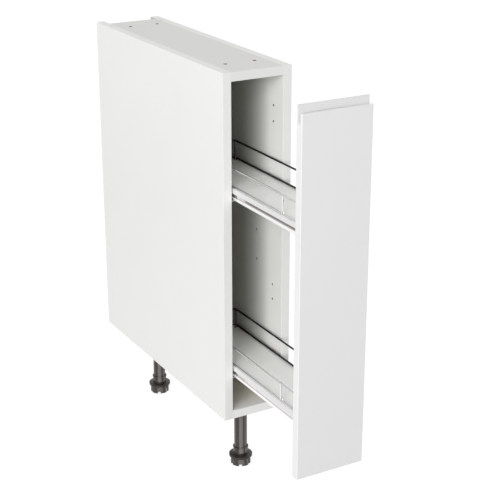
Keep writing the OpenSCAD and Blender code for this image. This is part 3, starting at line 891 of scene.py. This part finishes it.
def put(name: str, mesh: BMesh, finishes: Sequence[Finish], node: str,
        shading: Shading = Shading.FLAT) -> None:
    """Turns a finished mesh into a piece of the unit, in place of a CAD node and on its body.

    Args:
        name: The piece's name.
        mesh: The mesh, in place.
        finishes: Its finishes, in the order of its material indices.
        node: The CAD node that it replaces.
        shading: How its faces meet.
    """
    data = mesh_data(name, mesh)
    for finish in finishes:
        data.materials.append(finish.material())
    if shading is Shading.ROUND:
        data.shade_smooth()
        data.set_sharp_from_angle(angle=SMOOTH)
    else:
        data.shade_flat()
    piece = stand(name, data)
    body = NODES[node]["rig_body"]
    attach(piece, body)
    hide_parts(node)
    LOG.info("%s: %d faces, on %s", name, len(data.polygons), body)


def dress(node: str, finish: Finish) -> None:
    """Gives a round CAD node that shows as it is its finish.

    Args:
        node: The CAD node.
        finish: Its finish.
    """
    data = NODES[node].data
    data.materials.clear()
    data.materials.append(finish.material())
    data.set_sharp_from_angle(angle=SMOOTH)
    LOG.info("%s: dressed in %s", node, finish.slot)


def face_side(mesh: BMesh, block: Block, way: Way, finish_index: int) -> None:
    """Gives the flat faces on one side of a piece another finish.

    Args:
        mesh: The piece's mesh.
        block: The box round it.
        way: The way that the side faces.
        finish_index: The place of the other finish among the piece's finishes.
    """
    toward = Vector(way.value)
    edge = max(block.low.dot(toward), block.high.dot(toward))
    mesh.normal_update()
    for face in mesh.faces:
        if face.normal.dot(toward) > SQUARE_ON and face.calc_center_median().dot(toward) > edge - FLUSH:
            face.material_index = finish_index


def bare_core(mesh: BMesh, block: Block, skin: float, finish_index: int) -> None:
    """Gives faces that go into a board, such as the walls of bores and grooves, another finish.

    Args:
        mesh: The board's mesh.
        block: The box round it.
        skin: How deep the board's skin goes.
        finish_index: The place of the core's finish among the board's finishes.
    """
    for face in mesh.faces:
        depths = [min(min(vert.co[axis] - block.low[axis], block.high[axis] - vert.co[axis])
                      for axis in range(3)) for vert in face.verts]
        if max(depths) > skin:
            face.material_index = finish_index


@dataclass
class Carcass:
    """The fixed box: two sides, top, bottom and back, its edging strips and its dowels."""

    arris: float = 0.45 * MM
    skin: float = 0.6 * MM
    bore_crease: float = 50.0
    edging_arris: float = 0.08 * MM

    def board(self, node: str, finish: Finish, core: Finish, inward: Way,
              inner: Finish = SHADED_INNER_BOARD) -> None:
        """Rebuilds a board with eased edges and a bare core in its bores and grooves.

        Args:
            node: The board's CAD node.
            finish: The finish of its faces.
            core: The finish of its bores and grooves.
            inward: The way that the face inside the carcass looks.
            inner: The finish of that face.
        """
        mesh = softened(node, self.arris, crease=self.bore_crease)
        finishes = [finish, core, inner, BOARD_EDGE]
        block = Block.of(node)
        # The inside face takes its own tone: painted shade, and for the bottom painted light and painted
        # shade
        face_side(mesh, block, inward, finishes.index(inner))
        if inward not in (Way.UP, Way.DOWN):
            face_side(mesh, block, Way.UP, finishes.index(BOARD_EDGE))
        bare_core(mesh, block, self.skin, finishes.index(core))
        put(node + "_board", mesh, finishes, node)

    def edging(self) -> None:
        """Eases the strips on the front edges: one up each side, one across the top and one below. The
        top, right and bottom strips take darker and lighter copies of the left one's melamine, painted
        shade and painted light.
        """
        mesh = softened("front_edging", self.edging_arris, steps=1)
        finishes = [EDGING, EDGING_TOP, EDGING_RIGHT, EDGING_BOTTOM]
        top = Block.of("top_panel")
        for face in mesh.faces:
            middle = face.calc_center_median()
            if middle.x > top.high.x:
                face.material_index = finishes.index(EDGING_RIGHT)
            elif middle.x > top.low.x:
                level = EDGING_TOP if middle.z > top.low.z else EDGING_BOTTOM
                face.material_index = finishes.index(level)
        put("edging_strips", mesh, finishes, "front_edging")

    def build(self) -> None:
        """Builds every board, the edging and the dowels."""
        self.board("left_side_panel", BOARD, CORE, Way.RIGHT)
        self.board("right_side_panel", BOARD, CORE, Way.LEFT)
        self.board("bottom_panel", BOARD, CORE, Way.UP, LIT_AND_SHADED_BOTTOM_BOARD)
        self.board("top_panel", SHADED_TOP_BOARD, SHADED_BORE_CORE, Way.DOWN)
        self.board("back_panel", BACK_BOARD, CORE, Way.FRONT)
        self.edging()
        dress("carcass_dowels", BEECH)


@dataclass
class Screw:
    """A pan-head screw: a domed head with a cross recess on a plain shank.

    The dome goes from the seat to the crown, each point a share of the head's radius and height.
    """

    head_d: float
    shank_d: float
    head_h: float = 1.8 * MM
    dome: Stops = ((1.0, 0.0), (1.0, 0.35), (0.9, 0.8), (0.7, 1.0))
    tip: float = 0.4
    reach: float = 0.62
    wing: float = 0.17
    recess: float = 0.7
    steps: int = 24

    def mesh(self, length: float) -> BMesh:
        """Builds the screw with its head facing -Z and its shank going up from the origin.

        Args:
            length: The shank's length.

        Returns:
            The screw's mesh.
        """
        radius, shank = self.head_d / 2, self.shank_d / 2
        outline = [(0.0, length), (shank * self.tip, length), (shank, length - shank), (shank, 0.0)]
        outline += [(radius * across, -self.head_h * down) for across, down in self.dome]
        mesh = spun(outline, steps=self.steps)
        self._cut_recess(mesh, outline[-1][0])
        return mesh

    def _cut_recess(self, mesh: BMesh, crown: float) -> None:
        """Closes the crown with a face that holds a cross recess.

        Args:
            mesh: The screw's mesh, open at the crown.
            crown: The radius of the open crown.
        """
        reach, wing = crown * self.reach, crown * self.wing
        corners = [(reach, -wing), (reach, wing), (wing, wing)]
        quarters = [Matrix.Rotation(quarter * math.pi / 2, 3, "Z") for quarter in range(4)]
        points = [mesh.verts.new(turn @ Vector((*corner, -self.head_h)))
                  for turn in quarters for corner in corners]
        cross = [mesh.edges.new(pair) for pair in zip(points, points[1:] + points[:1])]
        rim = [edge for edge in mesh.edges if edge.is_boundary]
        bmesh.ops.bridge_loops(mesh, edges=cross + rim)
        wall = bmesh.ops.extrude_edge_only(mesh, edges=cross)["geom"]
        floor = [item for item in wall if isinstance(item, bmesh.types.BMVert)]
        bmesh.ops.translate(mesh, vec=(0, 0, self.head_h * self.recess), verts=floor)
        rims = [item for item in wall if isinstance(item, bmesh.types.BMEdge) and item.is_boundary]
        bmesh.ops.contextual_create(mesh, geom=rims)
        bmesh.ops.recalc_face_normals(mesh, faces=mesh.faces)


@dataclass
class ScrewSet:
    """The screws of one CAD node, each rebuilt where its solid lies."""

    node: str
    name: str
    screw: Screw

    @staticmethod
    def _aim(solid: Block) -> Matrix:
        """The turn that takes a screw from +Z to the way that a solid's shank points.

        Args:
            solid: The box round the solid.

        Returns:
            The turn.
        """
        along = max(range(3), key=lambda axis: solid.size[axis])
        if along == 2:
            return Matrix.Identity(4)
        if along == 1:
            return Matrix.Rotation(math.pi / 2, 4, "X")
        return Matrix.Rotation(math.copysign(math.pi / 2, solid.middle.x), 4, "Y")

    def build(self) -> None:
        """Builds the set."""
        mesh = bmesh.new()
        for solid in solids(self.node):
            turn = self._aim(solid)
            whole = max(solid.size)
            seat = solid.middle - turn @ Vector((0, 0, whole / 2 - self.screw.head_h))
            join(mesh, self.screw.mesh(whole - self.screw.head_h), Matrix.Translation(seat) @ turn)
        put(self.name, mesh, [ZINC], self.node, Shading.ROUND)


@dataclass
class Leg:
    """One adjustable leg: plug, tube, collar and foot."""

    end: str
    wall: float = 2 * MM
    collar_d: float = 31.7 * MM
    rim_h: float = 1.5 * MM
    rim_slope: float = 2.2 * MM
    stem_d: float = 18 * MM
    floor_t: float = 4 * MM
    play: float = 0.1 * MM
    arris: float = 0.35 * MM

    @property
    def plastic(self) -> MouldedPlastic:
        """The leg's plastic, with its painted reflection stripes round the leg's own middle."""
        middle = Block.of(f"{self.end}_leg_tube").middle
        return MouldedPlastic("leg_plastic", (middle.x, middle.y), variant="_" + self.end)

    def _spin(self, part: str, outline: list[tuple[float, float]]) -> None:
        """Spins a part of the leg in place of its CAD node.

        Args:
            part: The part, tube or collar.
            outline: Its closed outline, as radius and height from its underside.
        """
        node = f"{self.end}_leg_{part}"
        mesh = spun(outline, Block.of(node).foot, self.arris)
        put(f"{self.end}_{part}", mesh, [self.plastic], node, Shading.ROUND)

    def tube(self) -> None:
        """Spins the plain tube."""
        size = Block.of(f"{self.end}_leg_tube").size
        outer, inner = size.x / 2, size.x / 2 - self.wall
        self._spin("tube", [(inner, 0.0), (outer, 0.0), (outer, size.z), (inner, size.z)])

    def collar(self) -> None:
        """Spins the collar, with its flared rim and the floor that the stem screws through."""
        size = Block.of(f"{self.end}_leg_collar").size
        rim, height, body = size.x / 2, size.z, self.collar_d / 2
        socket = Block.of(f"{self.end}_leg_tube").size.x / 2 + self.play
        stem = self.stem_d / 2 + self.play
        self._spin("collar", [
            (stem, 0.0), (body, 0.0), (body, height - self.rim_h - self.rim_slope),
            (rim, height - self.rim_h), (rim, height), (socket, height), (socket, self.floor_t),
            (stem, self.floor_t)])

    def foot(self) -> None:
        """Eases the castellated foot."""
        node = f"{self.end}_foot"
        mesh = softened(node, self.arris)
        put(f"{self.end}_castellated_foot", mesh, [self.plastic], node, Shading.ROUND)

    def build(self) -> None:
        """Builds the leg."""
        self.tube()
        self.collar()
        self.foot()
        dress(f"{self.end}_leg_mount", self.plastic)


@dataclass
class Door:
    """The full-height door with its finger groove, and the buffers on its back.

    A buffer's dome goes from its edge to its crown, each point a share of its radius and of the dome's
    height under the crown.
    """

    arris: float = 0.45 * MM
    edge_skin: float = 1.5 * MM
    front_skin: float = 4 * MM
    bores_under: float = 40 * MM
    lip: float = 5 * MM
    groove: float = 34 * MM
    dome_h: float = 0.6 * MM
    dome: Stops = ((1.0, 1.0), (0.8, 0.2), (0.45, 0.0))
    buffer_arris: float = 0.1 * MM
    buffer_steps: int = 24

    def panel(self) -> None:
        """Eases the panel. Foil wraps it, its back is melamine, its screw bores show the core, and the
        face in its finger groove is a darker copy of the foil, painted shade.
        """
        block = Block.of("door")
        mesh = softened("door", self.arris, steps=3)
        finishes = [DOOR_FRONT, BOARD, CORE, SHADED_DOOR_GROOVE]
        for face in mesh.faces:
            middle = face.calc_center_median()
            inset = min(middle.x - block.low.x, block.high.x - middle.x, block.high.y - middle.y)
            behind, below = middle.y - block.low.y, block.high.z - middle.z
            finish = DOOR_FRONT
            if middle.y > block.high.y - FLUSH:
                finish = BOARD
            elif inset > self.edge_skin and behind > self.front_skin and below > self.bores_under \
                    and face.normal.z < 0.1:
                finish = CORE
            # Painted shade: the face in the finger groove takes a darker copy of the foil
            elif behind > self.lip and below < self.groove and face.normal.y < -0.5:
                finish = SHADED_DOOR_GROOVE
            face.material_index = finishes.index(finish)
        put("door_panel", mesh, finishes, "door")

    def buffers(self) -> None:
        """Spins the domed buffers."""
        mesh = bmesh.new()
        for solid in solids("door_buffers"):
            radius, thick = solid.size.x / 2, solid.size.y
            outline = [(0.0, 0.0), (radius, 0.0)]
            outline += [(radius * across, thick - self.dome_h * under) for across, under in self.dome]
            outline.append((0.0, thick))
            seat = Vector((solid.middle.x, solid.low.y, solid.middle.z))
            turn = Matrix.Translation(seat) @ Matrix.Rotation(-math.pi / 2, 4, "X")
            join(mesh, spun(outline, rounding=self.buffer_arris, steps=self.buffer_steps), turn)
        put("buffer_pads", mesh, [BUFFER], "door_buffers", Shading.ROUND)

    def build(self) -> None:
        """Builds the door and its buffers."""
        self.panel()
        self.buffers()


@dataclass
class Gallery:
    """One tray's rails: two bent wires, and short posts that are welded between them."""

    tier: Tier
    corner_r: float = 12 * MM
    sides: int = 20
    bend_steps: int = 14
    end_arris: float = 0.3
    foot_r: float = 3.5 * MM
    foot_h: float = 2.5 * MM
    foot_rim: float = 0.45
    neck: tuple[float, float] = (1.35, 0.8)
    shank_from: float = 1.3
    tip_h: float = 0.5 * MM
    tip: float = 0.6
    post_arris: float = 0.3 * MM
    post_steps: int = 28
    bead: Point = (1.9 * MM, 1.4 * MM, 1.1 * MM)

    def wire(self, level: str) -> None:
        """Bends a wire down one side of the tray, round its rear and back up the other side.

        Args:
            level: The wire, top or bottom.
        """
        node = f"{self.tier.value}_{level}_wire"
        block = Block.of(node)
        front, height, radius = block.low.y, block.middle.z, block.size.z / 2
        left, right = block.low.x + radius, block.high.x - radius
        bend_y = block.high.y - radius - self.corner_r
        mesh = bmesh.new()
        start = Matrix.Translation((left, front, height)) @ Matrix.Rotation(math.pi / 2, 4, "X")
        bmesh.ops.create_circle(mesh, cap_ends=False, radius=radius, segments=self.sides, matrix=start)
        ring = self._run(mesh, list(mesh.edges), (0, bend_y - front, 0))
        ring = self._bend(mesh, ring, (left + self.corner_r, bend_y, height))
        ring = self._run(mesh, ring, (right - left - 2 * self.corner_r, 0, 0))
        ring = self._bend(mesh, ring, (right - self.corner_r, bend_y, height))
        self._run(mesh, ring, (0, front - bend_y, 0))
        ends = [edge for edge in mesh.edges if edge.is_boundary]
        caps = bmesh.ops.holes_fill(mesh, edges=ends)["faces"]
        rims = list({edge for face in caps for edge in face.edges})
        ease(mesh, rims, radius * self.end_arris, ROUND_STEPS)
        bmesh.ops.recalc_face_normals(mesh, faces=mesh.faces)
        put(f"{self.tier.value}_{level}_rail", mesh, [CHROME_WIRE], node, Shading.ROUND)

    @staticmethod
    def _run(mesh: BMesh, ring: list, way: Point) -> list:
        """Draws a ring of edges straight on.

        Args:
            mesh: The wire's mesh.
            ring: The open end's edges.
            way: How far it goes.

        Returns:
            The new open end's edges.
        """
        made = bmesh.ops.extrude_edge_only(mesh, edges=ring)["geom"]
        end = [item for item in made if isinstance(item, bmesh.types.BMVert)]
        bmesh.ops.translate(mesh, vec=way, verts=end)
        return [item for item in made
                if isinstance(item, bmesh.types.BMEdge) and all(vert in end for vert in item.verts)]

    def _bend(self, mesh: BMesh, ring: list, centre: Point) -> list:
        """Turns a ring of edges a quarter round, clockwise from above.

        Args:
            mesh: The wire's mesh.
            ring: The open end's edges.
            centre: The middle of the bend.

        Returns:
            The new open end's edges.
        """
        verts = list({vert for edge in ring for vert in edge.verts})
        made = bmesh.ops.spin(mesh, geom=verts + ring, cent=centre, axis=(0, 0, 1),
                              angle=-math.pi / 2, steps=self.bend_steps)["geom_last"]
        return [item for item in made if isinstance(item, bmesh.types.BMEdge)]

    def posts(self) -> None:
        """Builds the posts, each welded to both wires."""
        node = f"{self.tier.value}_posts"
        wires = [Block.of(f"{self.tier.value}_{level}_wire") for level in ("top", "bottom")]
        wire_r = wires[0].size.z / 2
        neck_r, neck_z = wire_r * self.neck[0], self.foot_h * self.neck[1]
        mesh = bmesh.new()
        for solid in solids(node):
            side = math.copysign(1.0, solid.low.x)
            outer, height = solid.high.x if side > 0 else solid.low.x, solid.size.z
            centre = Vector((outer - side * wire_r, solid.middle.y, solid.low.z))
            outline = [(0.0, 0.0), (self.foot_r, 0.0), (self.foot_r, self.foot_h * self.foot_rim),
                       (neck_r, neck_z), (wire_r, self.foot_h * self.shank_from),
                       (wire_r, height - self.tip_h), (wire_r * self.tip, height), (0.0, height)]
            join(mesh, spun(outline, centre, self.post_arris, self.post_steps))
            for wire in wires:
                weld = bmesh.new()
                bmesh.ops.create_icosphere(weld, subdivisions=3, radius=1.0)
                bmesh.ops.scale(weld, vec=self.bead, verts=weld.verts)
                join(mesh, weld, Matrix.Translation((outer, centre.y, wire.middle.z)))
        put(f"{self.tier.value}_gallery_posts", mesh, [CHROME_POST], node, Shading.ROUND)

    def build(self) -> None:
        """Builds both wires and the posts."""
        self.wire("top")
        self.wire("bottom")
        self.posts()


@dataclass
class TrayTier:
    """One level of the pull-out: the tray board, its gallery and the bracket between it and the door."""

    tier: Tier
    arris: float = 0.5 * MM
    skin: float = 0.8 * MM
    bracket_arris: float = 0.3 * MM

    def build(self) -> None:
        """Builds the level. The tray board's top is a lighter copy of its melamine and its sides and rear
        a darker one, painted light and painted shade.
        """
        name = self.tier.value
        tray = f"{name}_tray"
        mesh = softened(tray, self.arris)
        finishes = [TRAY_BOARD, CORE, SHADED_TRAY_EDGE]
        block = Block.of(tray)
        for way in (Way.LEFT, Way.RIGHT, Way.REAR):
            face_side(mesh, block, way, finishes.index(SHADED_TRAY_EDGE))
        bare_core(mesh, block, self.skin, finishes.index(CORE))
        put(f"{tray}_board", mesh, finishes, tray)
        bracket = f"{name}_door_bracket"
        put(f"{name}_bracket", softened(bracket, self.bracket_arris), [BRACKET_STEEL], bracket)
        Gallery(self.tier).build()


@dataclass
class Runner:
    """One telescopic runner: fixed, middle and tray members, and the two ball cages between them."""

    tier: Tier
    side: Side
    fold: float = 0.25 * MM
    cage_fold: float = 0.1 * MM

    def build(self) -> None:
        """Builds the members and cages. The tray member's outer race takes a whiter copy of the steel,
        painted light.
        """
        name = f"{self.tier.value}_{self.side.value}"
        outward = Way.LEFT if self.side is Side.LEFT else Way.RIGHT
        for kind in ("fixed", "middle", "tray"):
            node = f"{name}_{kind}_member"
            mesh = softened(node, self.fold)
            finishes = [RUNNER_STEEL]
            if kind == "tray":
                finishes.append(LIT_RUNNER_RACE)
                face_side(mesh, Block.of(node), outward, finishes.index(LIT_RUNNER_RACE))
            put(f"{name}_{kind}_rail_member", mesh, finishes, node)
        for kind in ("inner", "outer"):
            node = f"{name}_{kind}_cage"
            put(f"{name}_{kind}_ball_cage", softened(node, self.cage_fold, steps=1), [CAGE_STEEL], node)


@dataclass(frozen=True)
class Softbox:
    """One soft square lamp, which faces the middle of the unit from afar."""

    name: str
    way: Point
    far: float
    size: float
    watts: float

    def hang(self, aim: Vector) -> None:
        """Hangs the lamp along its way from the aim.

        Args:
            aim: The point that it faces.
        """
        data = bpy.data.lights.new(self.name, "AREA")
        data.size = self.size
        data.energy = self.watts
        spot = aim + self.far * Vector(self.way)
        lamp = stand(self.name, data)
        lamp.location = spot
        lamp.rotation_mode = "QUATERNION"
        lamp.rotation_quaternion = (aim - spot).to_track_quat("-Z", "Y")


@dataclass
class Studio:
    """The pale floor, the soft light and the camera, which was fitted to the photograph's edges."""

    lens: float = 93.9795
    sensor: float = 36.0
    yaw: float = 29.7728
    pitch: float = 20.5894
    eye: Point = (-1.20718, -2.23351, 1.41184)
    clip: float = 100.0
    sky: Color = (0.55, 0.55, 0.545)
    sky_shown: Color = (1.0, 1.0, 1.0)
    floor_size: tuple[float, float] = (40.0, 40.0)
    floor_shown: Color = (0.83, 0.83, 0.83)
    floor_bounce: Color = (0.05, 0.05, 0.05)
    floor_paint: Color = (0.30, 0.30, 0.30)
    flag_size: tuple[float, float] = (1.1, 1.6)
    flag_spot: Point = (-1.15, 1.5, 0.01)
    flag_cloth: Color = (0.37, 0.355, 0.350)
    aim: Point = (0.0, 0.0, 0.45)
    key: Softbox = Softbox("key_softbox", (-0.749, -0.602, 0.276), 9.0, 4.7, 645.0)
    fill: Softbox = Softbox("fill_softbox", (0.970, 0.120, 0.210), 9.0, 3.6, 235.0)

    def camera(self) -> None:
        """Stands the camera where the photograph was taken from."""
        data = bpy.data.cameras.new("photo_camera")
        data.lens = self.lens
        data.sensor_width = self.sensor
        data.clip_end = self.clip
        eye = stand("photo_camera", data)
        eye.location = self.eye
        eye.rotation_euler = (math.radians(90 - self.pitch), 0.0, -math.radians(self.yaw))
        bpy.context.scene.camera = eye

    @staticmethod
    def _seen(shader: Shader) -> Sock:
        """One for the camera's, glossy and transmission rays, and zero for the light's own.

        Args:
            shader: The tree.

        Returns:
            The share.
        """
        rays = [shader.node("ShaderNodeLightPath", output=f"Is {kind} Ray")
                for kind in ("Camera", "Glossy", "Transmission")]
        return rays[0].above(rays[1]).above(rays[2])

    @staticmethod
    def _sheet(name: str, size: tuple[float, float], spot: Point, paint: Shader) -> bpy.types.Object:
        """Lays a flat sheet that isn't part of the unit.

        Args:
            name: Its name.
            size: Its width and depth.
            spot: The middle of it.
            paint: Its finished tree.

        Returns:
            The sheet's object.
        """
        mesh = bmesh.new()
        bmesh.ops.create_grid(mesh, x_segments=1, y_segments=1, size=0.5)
        bmesh.ops.scale(mesh, vec=(*size, 1.0), verts=mesh.verts)
        bmesh.ops.translate(mesh, vec=spot, verts=mesh.verts)
        sheet = stand(name, mesh_data(name, mesh))
        sheet.data.materials.append(paint.owner)
        return sheet

    def sky_light(self) -> None:
        """An even pale sky that shows white."""
        world = bpy.data.worlds.new("studio")
        bpy.context.scene.world = world
        shader = Shader("studio", world)
        color = shader.mix(self._seen(shader), self.sky, self.sky_shown)
        shader.end("World", shader.node("ShaderNodeBackground", inputs={"Color": color, "Strength": 1.0}))

    def floor(self) -> None:
        """A white floor that keeps a faint shadow."""
        shader = Shader("floor_paint")
        shown = shader.mix(self._seen(shader), self.floor_bounce, self.floor_shown)
        glow = shader.node("ShaderNodeEmission", inputs={"Color": shown, "Strength": 1.0})
        paint = shader.node("ShaderNodeBsdfDiffuse", inputs={"Color": self.floor_paint})
        shader.end("Material", shader.node("ShaderNodeAddShader", inputs={0: glow, 1: paint}))
        self._sheet("floor", self.floor_size, (0.0, 0.0, 0.0), shader)

    def flag(self) -> None:
        """Lays a grey flag behind and to the left, which only polished metal shows."""
        shader = Shader("flag_cloth")
        shader.end("Material", shader.node("ShaderNodeBsdfDiffuse", inputs={"Color": self.flag_cloth}))
        flag = self._sheet("dark_flag", self.flag_size, self.flag_spot, shader)
        for rays in ("camera", "diffuse", "transmission", "volume_scatter", "shadow"):
            setattr(flag, "visible_" + rays, False)

    def build(self) -> None:
        """Sets up the studio."""
        bpy.context.scene.view_settings.view_transform = "Standard"
        self.camera()
        self.sky_light()
        self.floor()
        self.key.hang(Vector(self.aim))
        self.fill.hang(Vector(self.aim))
        self.flag()


def main() -> None:
    """Builds the unit and its studio in order."""
    Studio().build()
    Carcass().build()
    for end in ("front", "rear"):
        Leg(end).build()
    dress("leg_mount_screws", ZINC)
    Door().build()
    for tier in Tier:
        TrayTier(tier).build()
        for side in Side:
            Runner(tier, side).build()
    wall_screw = Screw(head_d=9 * MM, shank_d=4.8 * MM)
    sheet_screw = Screw(head_d=7.5 * MM, shank_d=4 * MM)
    ScrewSet("fixed_member_screws", "runner_wall_screws", wall_screw).build()
    ScrewSet("tray_member_screws", "runner_tray_screws", sheet_screw).build()
    ScrewSet("door_bracket_screws", "bracket_screws", sheet_screw).build()
    dress("post_screws", ZINC)
    dress("inner_balls", BALL_STEEL)
    dress("outer_balls", BALL_STEEL)


if __name__ == "__main__":
    main()
